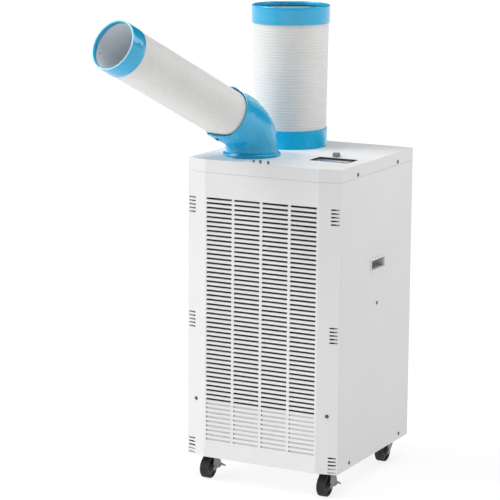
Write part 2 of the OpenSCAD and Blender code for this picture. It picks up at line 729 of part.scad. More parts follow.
// Brake pedal of a caster, with its pivot pin
module brake_pedal(i) color("black") translate([corners[i][0] * caster_x, corners[i][1], 0]) {
  translate([-15.5, pedal_y, pedal_z]) rotate([0, 90, 0]) cylinder(h = 31, r = 2.5);
  translate([-10, 0, 0]) rotate([90, 0, 90]) linear_extrude(20)
    polygon([[pedal_y - 3, pedal_z + 3], [pedal_y + 4, pedal_z + 4], [pedal_y + 14, pedal_z + 1.5],
      [pedal_y + 24, pedal_z - 3.5], [pedal_y + 37, pedal_z - 10.5], [pedal_y + 36, pedal_z - 13],
      [pedal_y + 24, pedal_z - 7], [pedal_y + 14, pedal_z - 3], [pedal_y + 4, pedal_z - 3],
      [pedal_y - 3, pedal_z - 3]]);
}

module front_left_fork() fork(0, true);
module front_right_fork() fork(1, true);
module rear_left_fork() fork(2, false);
module rear_right_fork() fork(3, false);
module front_left_wheel() caster_wheel(0);
module front_right_wheel() caster_wheel(1);
module rear_left_wheel() caster_wheel(2);
module rear_right_wheel() caster_wheel(3);
module front_left_brake() brake_pedal(0);
module front_right_brake() brake_pedal(1);

base_pan();
corner_posts();
front_cover();
left_side_panel();
right_side_panel();
rear_panel();
top_cover();
left_handle_cup();
right_handle_cup();
upper_filter();
lower_filter();
evaporator();
condenser();
drain_pan();
mid_shelf();
cold_scroll();
cold_wheel();
hot_scroll();
hot_wheel();
fan_motor();
motor_bracket();
fan_shaft();
compressor();
accumulator();
compressor_mounts();
discharge_pipe();
suction_pipe();
liquid_line();
drain_hose();
drain_tank();
electrical_box();
control_board();
run_capacitor();
control_tray();
control_label();
rotary_switch();
mode_knob();
cord_gland();
outlet_ring();
elbow();
pivot_screws();
cold_duct();
cold_duct_collar();
collar_screws();
exhaust_base_collar();
exhaust_duct();
exhaust_top_collar();
caster_plates();
front_left_fork();
front_right_fork();
rear_left_fork();
rear_right_fork();
front_left_wheel();
front_right_wheel();
rear_left_wheel();
rear_right_wheel();
front_left_brake();
front_right_brake();
cabinet_screws();
caster_screws();
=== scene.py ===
"""Looks of the portable air conditioner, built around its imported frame.

Shapes are worked out in millimetres, as in the CAD source, and MM scales them when a mesh is made.
Materials, lamps and the camera are in metres.
"""
import json
import math

import bmesh
import bpy
from mathutils import Matrix, Vector


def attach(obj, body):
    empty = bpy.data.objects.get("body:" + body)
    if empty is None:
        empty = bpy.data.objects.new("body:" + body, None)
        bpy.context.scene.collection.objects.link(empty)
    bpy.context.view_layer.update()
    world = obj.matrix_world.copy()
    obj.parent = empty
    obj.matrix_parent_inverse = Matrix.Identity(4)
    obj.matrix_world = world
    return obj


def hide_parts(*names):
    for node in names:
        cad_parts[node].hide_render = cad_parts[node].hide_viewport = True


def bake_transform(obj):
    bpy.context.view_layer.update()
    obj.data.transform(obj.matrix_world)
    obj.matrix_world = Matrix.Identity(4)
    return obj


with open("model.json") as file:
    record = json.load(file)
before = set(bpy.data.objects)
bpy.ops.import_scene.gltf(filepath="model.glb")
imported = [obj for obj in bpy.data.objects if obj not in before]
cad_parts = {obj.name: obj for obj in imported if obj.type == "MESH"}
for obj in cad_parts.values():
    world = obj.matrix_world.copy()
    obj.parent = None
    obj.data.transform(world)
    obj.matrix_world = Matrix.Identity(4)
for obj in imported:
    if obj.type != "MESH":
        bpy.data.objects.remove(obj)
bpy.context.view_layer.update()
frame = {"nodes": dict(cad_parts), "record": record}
nodes = frame["nodes"]
scene = bpy.context.scene
MM = 0.001

# ---- Where things are, in millimetres. X is to the right, Y to the rear and Z up ----

BASE, TOP = 60.0, 749.0                    # the cabinet's underside and its top
HALF_WIDTH = 190.0                         # half the cabinet's width
FRONT_Y = -200.5                           # its front face
STRIP_X, STRIP_BACK = 141.0, 11.5          # where its slanted strips start, and how far they fall back
STRIP_W = HALF_WIDTH - STRIP_X

COLD = Vector((-82.0, -89.0, 0.0))         # the elbow's upright axis
RISE, TURN = math.radians(27.0), math.radians(15.0)   # the cold duct's slope, and its turn to the left
BEND_H, BEND_R = 57.7, 72.0                # where the elbow's two axes cross, above the top, and its bend
CROSSING = COLD + Vector((0, 0, TOP + BEND_H))
UP = Vector((0, 0, 1))
HEADING = Vector((-math.sin(TURN), -math.cos(TURN), 0))
DUCT = HEADING * math.cos(RISE) + UP * math.sin(RISE)
BACK = -HEADING * math.sin(RISE) + UP * math.cos(RISE)
SIDE = Vector((-math.cos(TURN), math.sin(TURN), 0))
BEND_ANGLE = math.pi / 2 - RISE
BEND_RUN = BEND_R * math.tan(BEND_ANGLE / 2)
PIVOT, REACH, COLLAR_LEN = 97.0, 490.0, 43.0   # along DUCT: the pivot screws, the duct's end, its collar
DUCT_R, COLLAR_R, SOCKET_R = 56.0, 57.5, 61.5  # the cold duct, its collar and the elbow's socket

HOT = Vector((-79.0, 97.0, TOP))           # the foot of the exhaust duct
HOT_R, HOT_TOP_R, HOT_H = 85.2, 89.0, 328.0    # its radius at the foot and at the top, and its height
HOT_FOOT_COLLAR, HOT_TOP_COLLAR = 43.0, 42.0

WHEEL_R, WHEEL_TRAIL = 25.0, 14.0          # a caster wheel, and how far its axle lies in front of its stem
CASTERS = {"front_left": (-149, -152), "front_right": (149, -152),
           "rear_left": (-149, 166), "rear_right": (149, 166)}   # X and Y of their stems


# ---- Node materials ----

class Look:
    """A material under construction: object coordinates, noises and a principled shader."""

    def __init__(self, name, color, rough, metallic=0.0, coat=0.0, coat_rough=0.1):
        self.name = name
        self.material = bpy.data.materials.new(name)
        self.material.use_nodes = True
        self.tree = self.material.node_tree
        self.shader = self.tree.nodes["Principled BSDF"]
        self.color = color
        self.shader.inputs["Base Color"].default_value = (*color, 1)
        self.shader.inputs["Roughness"].default_value = rough
        self.shader.inputs["Metallic"].default_value = metallic
        self.shader.inputs["Coat Weight"].default_value = coat
        self.shader.inputs["Coat Roughness"].default_value = coat_rough
        self.coords = self.node("ShaderNodeTexCoord").outputs["Object"]
        self.normal = None

    def node(self, kind, **settings):
        made = self.tree.nodes.new(kind)
        for key, value in settings.items():
            setattr(made, key, value)
        return made

    def link(self, a, b):
        self.tree.links.new(a, b)

    def noise(self, scale, detail=4.0, stretch=(1, 1, 1)):
        """Soft noise from 0 to 1, with about scale waves in a metre."""
        mapping = self.node("ShaderNodeMapping")
        mapping.inputs["Scale"].default_value = stretch
        self.link(self.coords, mapping.inputs["Vector"])
        tex = self.node("ShaderNodeTexNoise")
        tex.inputs["Scale"].default_value = scale
        tex.inputs["Detail"].default_value = detail
        tex.inputs["Roughness"].default_value = 0.55
        self.link(mapping.outputs["Vector"], tex.inputs["Vector"])
        return tex.outputs["Fac"]

    def cells(self, scale, feature="F1"):
        """Cells of crystals or tracks, with about scale of them in a metre."""
        tex = self.node("ShaderNodeTexVoronoi", feature=feature)
        tex.inputs["Scale"].default_value = scale
        self.link(self.coords, tex.inputs["Vector"])
        return tex

    def axis(self, name):
        """How far a point lies along an axis, in metres."""
        split = self.node("ShaderNodeSeparateXYZ")
        self.link(self.coords, split.inputs[0])
        return split.outputs[name]

    def bands(self, axis, period):
        """A wave from 0 to 1 along an axis, with that period."""
        turns = self.maths("MULTIPLY", self.axis(axis), 2 * math.pi / period)
        return self.remap(self.maths("SINE", turns), -1, 1, 0, 1)

    def along(self, axis, low, high, at_low=0.0, at_high=1.0):
        """A ramp along an axis from low to high metres."""
        return self.remap(self.axis(axis), low, high, at_low, at_high)

    def maths(self, operation, a, b=None):
        made = self.node("ShaderNodeMath", operation=operation)
        for socket, value in zip(made.inputs, (a, b)):
            if value is None:
                continue
            if isinstance(value, (int, float)):
                socket.default_value = value
            else:
                self.link(value, socket)
        return made.outputs[0]

    def remap(self, value, low, high, to_low=0, to_high=1):
        made = self.node("ShaderNodeMapRange")
        self.link(value, made.inputs["Value"])
        made.inputs["From Min"].default_value = low
        made.inputs["From Max"].default_value = high
        made.inputs["To Min"].default_value = to_low
        made.inputs["To Max"].default_value = to_high
        return made.outputs["Result"]

    def tint(self, fac, color, strength=1.0):
        """Mixes a colour into the base colour by fac times strength."""
        mix = self.node("ShaderNodeMix", data_type="RGBA")
        amount = self.maths("MULTIPLY", fac, strength)
        self.link(amount, mix.inputs["Factor"])
        base = self.shader.inputs["Base Color"]
        if base.is_linked:
            self.link(base.links[0].from_socket, mix.inputs["A"])
        else:
            mix.inputs["A"].default_value = (*self.color, 1)
        mix.inputs["B"].default_value = (*color, 1)
        self.link(mix.outputs["Result"], base)

    def clouds(self, scale, detail, low, high, color, strength, stretch=(1, 1, 1)):
        """Mixes a colour in where a noise is high: it starts at low and is full at high."""
        self.tint(self.remap(self.noise(scale, detail, stretch), low, high), color, strength)

    def roughen(self, fac, low, high):
        """Varies the roughness between low and high."""
        self.link(self.remap(fac, 0.3, 0.7, low, high), self.shader.inputs["Roughness"])

    def bump(self, height, depth, strength=1.0):
        """Adds relief, depth metres deep, to the relief that is there."""
        made = self.node("ShaderNodeBump")
        made.inputs["Distance"].default_value = depth
        made.inputs["Strength"].default_value = strength
        self.link(height, made.inputs["Height"])
        if self.normal is not None:
            self.link(self.normal, made.inputs["Normal"])
        self.normal = made.outputs["Normal"]
        self.link(self.normal, self.shader.inputs["Normal"])


def darker(color, share):
    return tuple(c * share for c in color)


def moulding(name, color, rough, grain=2600.0, depth=0.00006, soil=0.08, coat=0.0, waves=0.12):
    """Moulded plastic: a fine spark-eroded grain, faint flow clouds and a little dust low down."""
    look = Look(name, color, rough, coat=coat, coat_rough=0.18)
    look.clouds(9.0, 3.0, 0.35, 0.75, darker(color, 0.955), 0.6)
    look.clouds(140.0, 5.0, 0.56, 0.75, darker(color, 0.90), 0.22)
    if soil:
        low = look.along("Z", 0.16, 0.05)
        dirt = look.maths("MULTIPLY", low, look.remap(look.noise(38.0, 6.0), 0.42, 0.72))
        look.tint(dirt, (0.50, 0.47, 0.42), soil)
    look.roughen(look.noise(60.0, 5.0), rough - 0.05, rough + 0.07)
    look.bump(look.noise(grain, 2.0), depth, 0.5)
    look.bump(look.noise(14.0, 2.0), 0.0004, waves)
    return look


def painted_sheet(name, color, rough=0.36):
    """Powder coat on sheet: orange peel, faint waviness of the sheet and dust low down."""
    look = Look(name, color, rough, coat=0.15, coat_rough=0.25)
    look.clouds(5.0, 2.0, 0.4, 0.7, darker(color, 0.96), 0.6)
    look.clouds(420.0, 3.0, 0.6, 0.8, darker(color, 0.88), 0.2)
    low = look.along("Z", 0.15, 0.05)
    look.tint(look.maths("MULTIPLY", low, look.noise(30.0, 6.0)), (0.48, 0.46, 0.42), 0.08)
    look.roughen(look.noise(48.0, 4.0), rough - 0.05, rough + 0.08)
    look.bump(look.noise(650.0, 2.0), 0.00008, 0.5)
    look.bump(look.noise(4.0, 1.0), 0.0008, 0.12)
    return look


def metal(name, color, rough, grain=(1, 1, 1), grain_scale=300.0, stain=(0.5, 0.5, 0.5)):
    """Bare or plated metal with stains. grain is how much closer its brush marks lie along each axis."""
    look = Look(name, color, rough, metallic=1.0)
    look.clouds(24.0, 6.0, 0.45, 0.75, stain, 0.35)
    look.roughen(look.noise(90.0, 5.0, grain), rough - 0.08, rough + 0.14)
    look.bump(look.noise(grain_scale, 3.0, grain), 0.00005, 0.5)
    return look


def rubber(name, color, rough, dust):
    """Black rubber with grey dust and a fine grain."""
    look = Look(name, color, rough)
    look.clouds(55.0, 6.0, 0.45, 0.75, (0.075, 0.073, 0.070), dust)
    look.clouds(600.0, 4.0, 0.6, 0.8, (0.10, 0.10, 0.10), 0.25)
    look.roughen(look.noise(80.0, 4.0), rough - 0.10, rough + 0.12)
    look.bump(look.noise(1400.0, 3.0), 0.00007, 0.6)
    return look


WHITE = (0.80, 0.80, 0.805)


def front_plastic():
    """The front's moulding, with painted shade in its grooves and in the recessed vents of its slanted
    strips.
    """
    look = moulding("front_plastic", WHITE, 0.44)
    out = look.maths("ABSOLUTE", look.axis("X"))
    flat_part = look.remap(out, 0.137, 0.139, 1, 0)
    behind_face = look.along("Y", -0.2000, -0.1990)
    # painted shade: faces set back behind the front face, in the grooves, are darkened
    look.tint(look.maths("MULTIPLY", flat_part, behind_face), (0.47, 0.465, 0.50), 0.45)
    past_start = look.maths("SUBTRACT", out, STRIP_X * MM)
    set_back = look.maths("MULTIPLY", past_start, STRIP_BACK / STRIP_W)
    sunk = look.maths("SUBTRACT", look.maths("ADD", look.axis("Y"), -FRONT_Y * MM), set_back)
    in_strip = look.remap(out, 0.1415, 0.1425)
    vent_shade = look.maths("MULTIPLY", look.remap(sunk, 0.0003, 0.0009), in_strip)
    vent_shade = look.maths("MULTIPLY", vent_shade, look.along("Y", -0.1900, -0.1895, 1, 0))
    # painted shade: the recessed vents of the slanted strips are darkened
    look.tint(vent_shade, (0.16, 0.16, 0.165), 0.85)
    return look


def cup_plastic():
    """A handle cup's moulding, with painted shade that darkens it towards its bottom."""
    look = moulding("cup_plastic", WHITE, 0.44)
    cup_shade = look.remap(look.maths("ABSOLUTE", look.axis("X")), 0.1835, 0.1885, 1, 0)
    # painted shade: the deeper a face lies in the cup, the greyer it is
    look.tint(cup_shade, (0.50, 0.50, 0.505), 0.8)
    return look


def glossy_moulding(name, color, rough, coat):
    """Smooth bright plastic with no dust."""
    return moulding(name, color, rough, grain=900.0, depth=0.00001, soil=0.0, coat=coat, waves=0.0)


def blue_plastic():
    look = glossy_moulding("blue_plastic", (0.006, 0.430, 0.740), 0.24, 0.6)
    look.clouds(30.0, 2.0, 0.45, 0.8, (0.004, 0.400, 0.710), 0.30)
    return look


def duct_white():
    look = Look("duct_white", (0.80, 0.792, 0.778), 0.50)
    look.clouds(16.0, 4.0, 0.4, 0.75, (0.74, 0.732, 0.715), 0.5)
    look.clouds(260.0, 6.0, 0.58, 0.8, (0.64, 0.632, 0.615), 0.22)
    look.roughen(look.noise(70.0, 5.0), 0.44, 0.60)
    look.bump(look.noise(90.0, 2.0), 0.00006, 0.15)
    look.bump(look.noise(1500.0, 2.0), 0.00004, 0.4)
    return look


def duct_lining():
    look = Look("duct_lining", (0.78, 0.80, 0.82), 0.62)
    look.clouds(20.0, 5.0, 0.4, 0.75, (0.71, 0.73, 0.76), 0.6)
    look.roughen(look.noise(60.0, 4.0), 0.55, 0.72)
    look.bump(look.noise(900.0, 4.0), 0.00012, 0.6)
    return look


def galvanised():
    """Zinc-coated sheet with its crystal spangle."""
    look = Look("galvanised", (0.56, 0.58, 0.60), 0.42, metallic=0.9)
    shade = look.node("ShaderNodeSeparateColor")
    look.link(look.cells(75.0).outputs["Color"], shade.inputs[0])
    look.tint(shade.outputs[0], (0.74, 0.76, 0.79), 0.75)
    look.clouds(26.0, 6.0, 0.5, 0.8, (0.42, 0.42, 0.41), 0.4)
    look.roughen(shade.outputs[1], 0.30, 0.52)
    look.bump(look.noise(500.0, 3.0), 0.00004, 0.5)
    return look


def coil_fins():
    """The edges of a coil's aluminium fins, with painted shade in the gaps between them and patches of dust.
    """
    look = Look("coil_fins", (0.66, 0.68, 0.70), 0.38, metallic=1.0)
    rows = look.bands("X", 0.0018)
    # painted shade: the gaps between the fins are darkened
    look.tint(look.remap(rows, 0.2, 0.7, 1, 0), (0.10, 0.11, 0.12), 0.75)
    look.clouds(22.0, 6.0, 0.5, 0.8, (0.36, 0.35, 0.32), 0.4, (1, 1, 3))
    look.roughen(look.noise(180.0, 4.0), 0.32, 0.50)
    look.bump(rows, 0.0004, 0.8)
    look.bump(look.noise(70.0, 3.0), 0.0003, 0.4)
    return look


def copper():
    look = metal("copper", (0.70, 0.33, 0.19), 0.30, stain=(0.30, 0.13, 0.08))
    look.clouds(9.0, 5.0, 0.55, 0.85, (0.22, 0.20, 0.14), 0.4)
    return look


def black_steel():
    """Black enamel on steel."""
    look = Look("black_steel", (0.018, 0.018, 0.020), 0.30, coat=0.4, coat_rough=0.15)
    look.clouds(120.0, 5.0, 0.55, 0.8, (0.07, 0.07, 0.07), 0.4)
    look.roughen(look.noise(60.0, 4.0), 0.26, 0.46)
    look.bump(look.noise(420.0, 3.0), 0.00007, 0.5)
    return look


def fork_steel():
    look = metal("fork_steel", (0.21, 0.215, 0.225), 0.38, stain=(0.11, 0.11, 0.115))
    look.clouds(180.0, 5.0, 0.55, 0.75, (0.12, 0.12, 0.12), 0.5)
    return look


def filter_mesh():
    """A woven filter, dusty in places."""
    look = Look("filter_mesh", (0.030, 0.031, 0.034), 0.68)
    weave = look.maths("MULTIPLY", look.bands("X", 0.0014), look.bands("Z", 0.0014))
    look.tint(look.remap(weave, 0.2, 0.8), (0.10, 0.10, 0.11), 0.8)
    look.clouds(36.0, 6.0, 0.5, 0.8, (0.16, 0.15, 0.14), 0.35)
    look.roughen(look.noise(70.0, 4.0), 0.6, 0.8)
    look.bump(weave, 0.0003, 0.7)
    return look


def tank_plastic():
    """The drain tank's plastic, which lets a little light in."""
    look = moulding("tank_plastic", (0.70, 0.73, 0.74), 0.40, soil=0.2)
    look.shader.inputs["Subsurface Weight"].default_value = 0.15
    look.shader.inputs["Subsurface Radius"].default_value = (0.004, 0.004, 0.005)
    return look


def hose_vinyl():
    look = Look("hose_vinyl", (0.50, 0.52, 0.50), 0.40, coat=0.2)
    look.clouds(40.0, 5.0, 0.5, 0.8, (0.40, 0.40, 0.36), 0.5)
    look.roughen(look.noise(90.0, 4.0), 0.34, 0.5)
    look.bump(look.noise(700.0, 3.0), 0.00006, 0.5)
    return look


def board_green():
    """A circuit board: tracks under green lacquer, with spots of solder."""
    look = Look("board_green", (0.012, 0.11, 0.045), 0.34, coat=0.3)
    tracks = look.cells(420.0, "DISTANCE_TO_EDGE").outputs["Distance"]
    look.tint(look.remap(tracks, 0.03, 0.06, 1, 0), (0.05, 0.26, 0.12), 0.7)
    look.clouds(500.0, 2.0, 0.66, 0.70, (0.62, 0.60, 0.52), 0.8)
    look.roughen(look.noise(120.0, 3.0), 0.28, 0.44)
    look.bump(tracks, 0.0001, 0.5)
    return look


def label_film():
    """The plate in the control recess, bluish at its left and grey at its right."""
    look = Look("label_film", (0.42, 0.52, 0.78), 0.30, coat=0.3)
    look.tint(look.along("X", 0.090, 0.112), (0.80, 0.80, 0.80), 1.0)
    look.clouds(70.0, 5.0, 0.5, 0.8, (0.35, 0.39, 0.46), 0.3)
    look.roughen(look.noise(50.0, 4.0), 0.26, 0.42)
    look.bump(look.noise(1800.0, 2.0), 0.00004, 0.5)
    return look


def make_looks():
    """Every material by its name. A material slot of the record has the material of the same name."""
    made = [
        front_plastic(), cup_plastic(), blue_plastic(), duct_white(), duct_lining(), galvanised(),
        coil_fins(), copper(), black_steel(), fork_steel(), filter_mesh(), tank_plastic(), hose_vinyl(),
        board_green(), label_film(),
        # a paler blue for the cold collar's lip: a painted highlight
        glossy_moulding("blue_lip_highlight", (0.36, 0.76, 0.92), 0.30, 0.3),
        moulding("cover_plastic", WHITE, 0.42),
        moulding("fan_plastic", (0.035, 0.035, 0.038), 0.46, soil=0.0),
        moulding("scroll_plastic", (0.46, 0.47, 0.48), 0.52, soil=0.0),
        moulding("grey_plastic", (0.26, 0.27, 0.28), 0.46, soil=0.0),
        # dark ink of the printed marks, also the painted shade of the screws' crosses
        moulding("ink_and_cross_shade", (0.085, 0.085, 0.09), 0.5, soil=0.0),
        moulding("knob_plastic", (0.26, 0.265, 0.26), 0.42, soil=0.0),
        moulding("wheel_core", (0.060, 0.062, 0.066), 0.42, soil=0.0),
        painted_sheet("cabinet_paint", (0.79, 0.79, 0.79)),
        painted_sheet("motor_steel", (0.16, 0.17, 0.19), 0.42),
        metal("shaft_steel", (0.60, 0.61, 0.63), 0.22, grain=(1, 14, 1), grain_scale=240.0),
        metal("can_aluminium", (0.74, 0.75, 0.76), 0.28, grain=(1, 1, 12), grain_scale=200.0),
        metal("screw_steel", (0.14, 0.143, 0.15), 0.34, stain=(0.07, 0.07, 0.07)),
        rubber("wheel_rubber", (0.022, 0.022, 0.024), 0.72, 0.5),
        rubber("black_rubber", (0.016, 0.016, 0.017), 0.6, 0.3),
    ]
    return {look.name: look.material for look in made}


looks = make_looks()
slot_of = {row["node"]: row["material_slot"] for row in frame["record"]["subparts"]}
for node_name, node in nodes.items():
    node.data.materials.clear()
    node.data.materials.append(looks[slot_of[node_name]])
for node_name in ("left_handle_cup", "right_handle_cup"):
    nodes[node_name].data.materials[0] = looks["cup_plastic"]


# ---- Soft edges on the CAD pieces that stay ----

WELD_GAP = 0.00001
FLAT_ANGLE, EDGE_ANGLE = math.radians(1.0), math.radians(38)


def soften(node_name, width):
    """Rounds a CAD piece's edges a little with modifiers. Its own mesh stays as it is."""
    piece = nodes[node_name]
    weld = piece.modifiers.new("weld", "WELD")
    weld.merge_threshold = WELD_GAP
    flat = piece.modifiers.new("flat", "DECIMATE")
    flat.decimate_type = "DISSOLVE"
    flat.angle_limit = FLAT_ANGLE
    edges = piece.modifiers.new("edges", "BEVEL")
    edges.width = width * MM
    edges.segments = 2
    edges.limit_method = "ANGLE"
    edges.angle_limit = EDGE_ANGLE
    edges.use_clamp_overlap = True
    edges.harden_normals = False
    shade = piece.modifiers.new("shade", "WEIGHTED_NORMAL")
    shade.keep_sharp = True
    shade.weight = 100


# ---- Mesh building ----

def shrunk(outline, by):
    """An outline of (x, y) points drawn in towards its middle."""
    cx = sum(x for x, y in outline) / len(outline)
    cy = sum(y for x, y in outline) / len(outline)
    points = []
    for x, y in outline:
        d = math.hypot(x - cx, y - cy) or 1
        points.append((x - (x - cx) / d * by, y - (y - cy) / d * by))
    return points


class Solid:
    """One piece under construction, in millimetres. A face's group is the index of its material."""

    def __init__(self):
        self.verts, self.faces, self.groups = [], [], []

    def rings(self, rings, group=0, closed=True, caps=False):
        """Skins rings of equal length. closed joins the last ring to the first one.

        group is one number, or gives the group of the faces between ring i and the next.
        """
        start, size, count = len(self.verts), len(rings[0]), len(rings)
        for ring in rings:
            self.verts.extend(ring)
        pick = group if callable(group) else (lambda i: group)
        for i in range(count if closed else count - 1):
            j = (i + 1) % count
            for k in range(size):
                m = (k + 1) % size
                self.faces.append((start + i * size + k, start + i * size + m,
                                   start + j * size + m, start + j * size + k))
                self.groups.append(pick(i))
        if caps:
            for i in (0, count - 1):
                self.faces.append(tuple(start + i * size + k for k in range(size)))
                self.groups.append(pick(i))

    def lathe(self, profile, place, steps, group=0, closed=True):
        """Turns a profile of (radius, height) points about the Z axis of place."""
        turns = [2 * math.pi * k / steps for k in range(steps)]
        rings = [[place @ Vector((r * math.cos(a), r * math.sin(a), z)) for a in turns] for r, z in profile]
        self.rings(rings, group, closed, caps=not closed)

    def slab(self, outline, low, high, place, round_=0.0, group=0):
        """A flat plate with an outline of (x, y) points and rounded upper and lower edges."""
        levels = [(low, 0), (high, 0)]
        if round_:
            levels = [(low, round_), (low + round_, 0), (high - round_, 0), (high, round_)]
        rings = [[place @ Vector((x, y, z)) for x, y in shrunk(outline, by)] for z, by in levels]
        self.rings(rings, group, closed=False, caps=True)

    def make(self, name, materials, body, replaces=(), angle=32):
        """Links the solid as a piece on a body. Edges sharper than angle degrees stay sharp."""
        mesh = bpy.data.meshes.new(name)
        mesh.from_pydata([Vector(v) * MM for v in self.verts], [], self.faces)
        for key in materials:
            mesh.materials.append(looks[key])
        mesh.polygons.foreach_set("material_index", self.groups)
        mesh.update()
        work = bmesh.new()
        work.from_mesh(mesh)
        bmesh.ops.recalc_face_normals(work, faces=work.faces)
        work.to_mesh(mesh)
        work.free()
        mesh.polygons.foreach_set("use_smooth", [True] * len(mesh.polygons))
        mesh.set_sharp_from_angle(angle=math.radians(angle))
        piece = bpy.data.objects.new(name, mesh)
        scene.collection.objects.link(piece)
        if body:
            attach(piece, body)
        if replaces:
            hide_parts(*replaces)
        return piece


def upright(origin):
    return Matrix.Translation(Vector(origin))


def along_axis(origin, axis, x_axis=None):
    """A frame at origin whose Z is axis."""
    z = Vector(axis).normalized()
    x = Vector(x_axis) if x_axis is not None else z.orthogonal()
    x = (x - x.dot(z) * z).normalized()
    y = z.cross(x)
    return Matrix.Translation(Vector(origin)) @ Matrix((x, y, z)).transposed().to_4x4()


def rounded_box(w, d, r, steps=6):
    """The outline of a box with rounded corners."""
    points = []
    for cx, cy, start in ((w / 2 - r, d / 2 - r, 0), (-w / 2 + r, d / 2 - r, 90),
                          (-w / 2 + r, -d / 2 + r, 180), (w / 2 - r, -d / 2 + r, 270)):
        for k in range(steps + 1):
            a = math.radians(start + 90 * k / steps)
            points.append((cx + r * math.cos(a), cy + r * math.sin(a)))
    return points


# ---- Ribbed ducts ----

RIB = [(0.26, 0.0), (0.44, -0.3), (0.60, -0.9), (0.76, -0.3), (0.94, 0.0)]   # share of the pitch, depth
LINING_WAVE = 0.7
COLD_PITCH, HOT_PITCH = 5.9, 6.7            # from rib to rib
COLD_BORE, HOT_BORE = DUCT_R - 2.6, 82.0
HOSE_TUCK = 12.0                            # how far a hose ends short of its collar's lip
HOSE_LEAD = 3.0                             # the cold hose's plain start, and the exhaust hose's gap below


def ribbed_section(low, high, pitch, outer, inner, plain_low, plain_high):
    """A ribbed hose's closed section, and how many of its points are outside.

    outer(z) and inner are its radii. Its plain ends go into the collars.
    """
    first, last = low + plain_low, high - plain_high
    section = [(outer(low), low), (outer(first), first)]
    count = round((last - first) / pitch)
    step = (last - first) / count
    for i in range(count):
        for share, dip in RIB:
            z = first + (i + share) * step
            section.append((outer(z) + dip, z))
    section += [(outer(last), last), (outer(high), high)]
    outside = len(section)
    section.append((inner, high))
    rows = int((high - low) / (step / 2))
    for k in range(1, rows):
        z = high + (low - high) * k / rows
        section.append((inner + (LINING_WAVE if k % 2 else 0.0), z))
    section.append((inner, low))
    return section, outside


def ribbed_hose(name, section, outside, place, steps, body, node_name):
    """Turns a ribbed section. The outside is white, and the inside has the lining."""
    lined = range(outside - 1, len(section) - 1)
    hose = Solid()
    hose.lathe(section, place, steps, group=lambda i: 1 if i in lined else 0)
    return hose.make(name, ["duct_white", "duct_lining"], body, [node_name], 60)


def hot_outer(z):
    """The exhaust duct's radius, which grows from its foot collar to its top collar."""
    low, high = TOP + HOT_FOOT_COLLAR, TOP + HOT_H - HOT_TOP_COLLAR - 6
    growth = HOT_TOP_R - 0.6 - HOT_R
    return HOT_R + growth * min(1.0, max(0.0, (z - low) / (high - low)))


duct_frame = along_axis(CROSSING, DUCT, BACK)
section, outside = ribbed_section(PIVOT - 5, REACH - HOSE_TUCK, COLD_PITCH, lambda z: DUCT_R - 0.1, COLD_BORE,
                                  HOSE_LEAD, COLLAR_LEN - HOSE_TUCK - 1)
ribbed_hose("cold_hose", section, outside, duct_frame, 120, "duct_hose", "cold_duct")

hot_frame = upright((HOT.x, HOT.y, 0))
section, outside = ribbed_section(TOP + HOSE_LEAD, TOP + HOT_H - HOSE_TUCK, HOT_PITCH, hot_outer, HOT_BORE,
                                  HOT_FOOT_COLLAR - HOSE_LEAD, HOT_TOP_COLLAR - HOSE_TUCK)
exhaust = ribbed_hose("exhaust_hose", section, outside, hot_frame, 144, None, "exhaust_duct")
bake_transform(exhaust)


# ---- Blue collars ----

LEAD = 1.2           # the soft lead-in at a sleeve's low end


def sleeve_section(low, high, r_low, r_high, bore_low, bore_high, lip):
    """A moulded sleeve with a rounded lip at its high end and a soft lead-in at its low end."""
    middle, half = (r_high + bore_high) / 2, (r_high - bore_high) / 2
    points = [(bore_low, low), (r_low - LEAD * 0.6, low), (r_low, low + LEAD)]
    for k in range(1, 5):
        points.append((r_low + (r_high - r_low) * k / 4, low + LEAD + (high - lip - low - LEAD) * k / 4))
    for k in range(1, 8):
        a = math.pi * k / 8
        points.append((middle + half * math.cos(a), high - lip + lip * math.sin(a)))
    points.append((bore_high, high - lip))
    return points


def cold_end_collar():
    """The cold duct's collar. Its lip is paler than its sleeve: a painted highlight."""
    bore, lip_bore, step_down = DUCT_R + 0.25, DUCT_R - 2.4, 11.0
    points = sleeve_section(REACH - COLLAR_LEN, REACH, COLLAR_R, COLLAR_R - 0.2, bore, lip_bore, 1.6)
    points += [(lip_bore, REACH - step_down), (bore, REACH - step_down)]
    # painted highlight: the lip's faces get a paler blue
    lip_highlight_rows = range(6, 14)
    sleeve = Solid()
    sleeve.lathe(points, duct_frame, 128, group=lambda i: 1 if i in lip_highlight_rows else 0)
    sleeve.make("cold_end_collar", ["blue_plastic", "blue_lip_highlight"], "duct_hose",
                ["cold_duct_collar"], 40)


def exhaust_foot_collar():
    low, high = TOP, TOP + HOT_FOOT_COLLAR
    r_out, r_in = HOT_R + 2.6, HOT_R + 0.6
    sleeve = Solid()
    sleeve.lathe([(r_in, low), (r_out, low), (r_out, low + 2.4), (r_out - 0.35, low + 2.9),
                  (r_out - 0.2, high - 1.6), (r_out - 0.6, high - 0.5), (r_out - 1.1, high), (r_in, high)],
                 hot_frame, 144)
    sleeve.make("exhaust_foot_collar", ["blue_plastic"], "cabinet",
                ["exhaust_base_collar"], 40)


def exhaust_end_collar():
    low, high = TOP + HOT_H - HOT_TOP_COLLAR, TOP + HOT_H
    r_out, bore, lip_bore, step_down = HOT_TOP_R + 2, HOT_TOP_R - 0.2, 83.0, 8
    points = sleeve_section(low, high, r_out - 0.3, r_out, bore, lip_bore, 3.0)
    points += [(lip_bore, high - step_down), (bore, high - step_down)]
    sleeve = Solid()
    sleeve.lathe(points, hot_frame, 144)
    sleeve.make("exhaust_end_collar", ["blue_plastic"], "exhaust_end",
                ["exhaust_top_collar"], 40)


cold_end_collar()
exhaust_foot_collar()
exhaust_end_collar()


# ---- Elbow ----

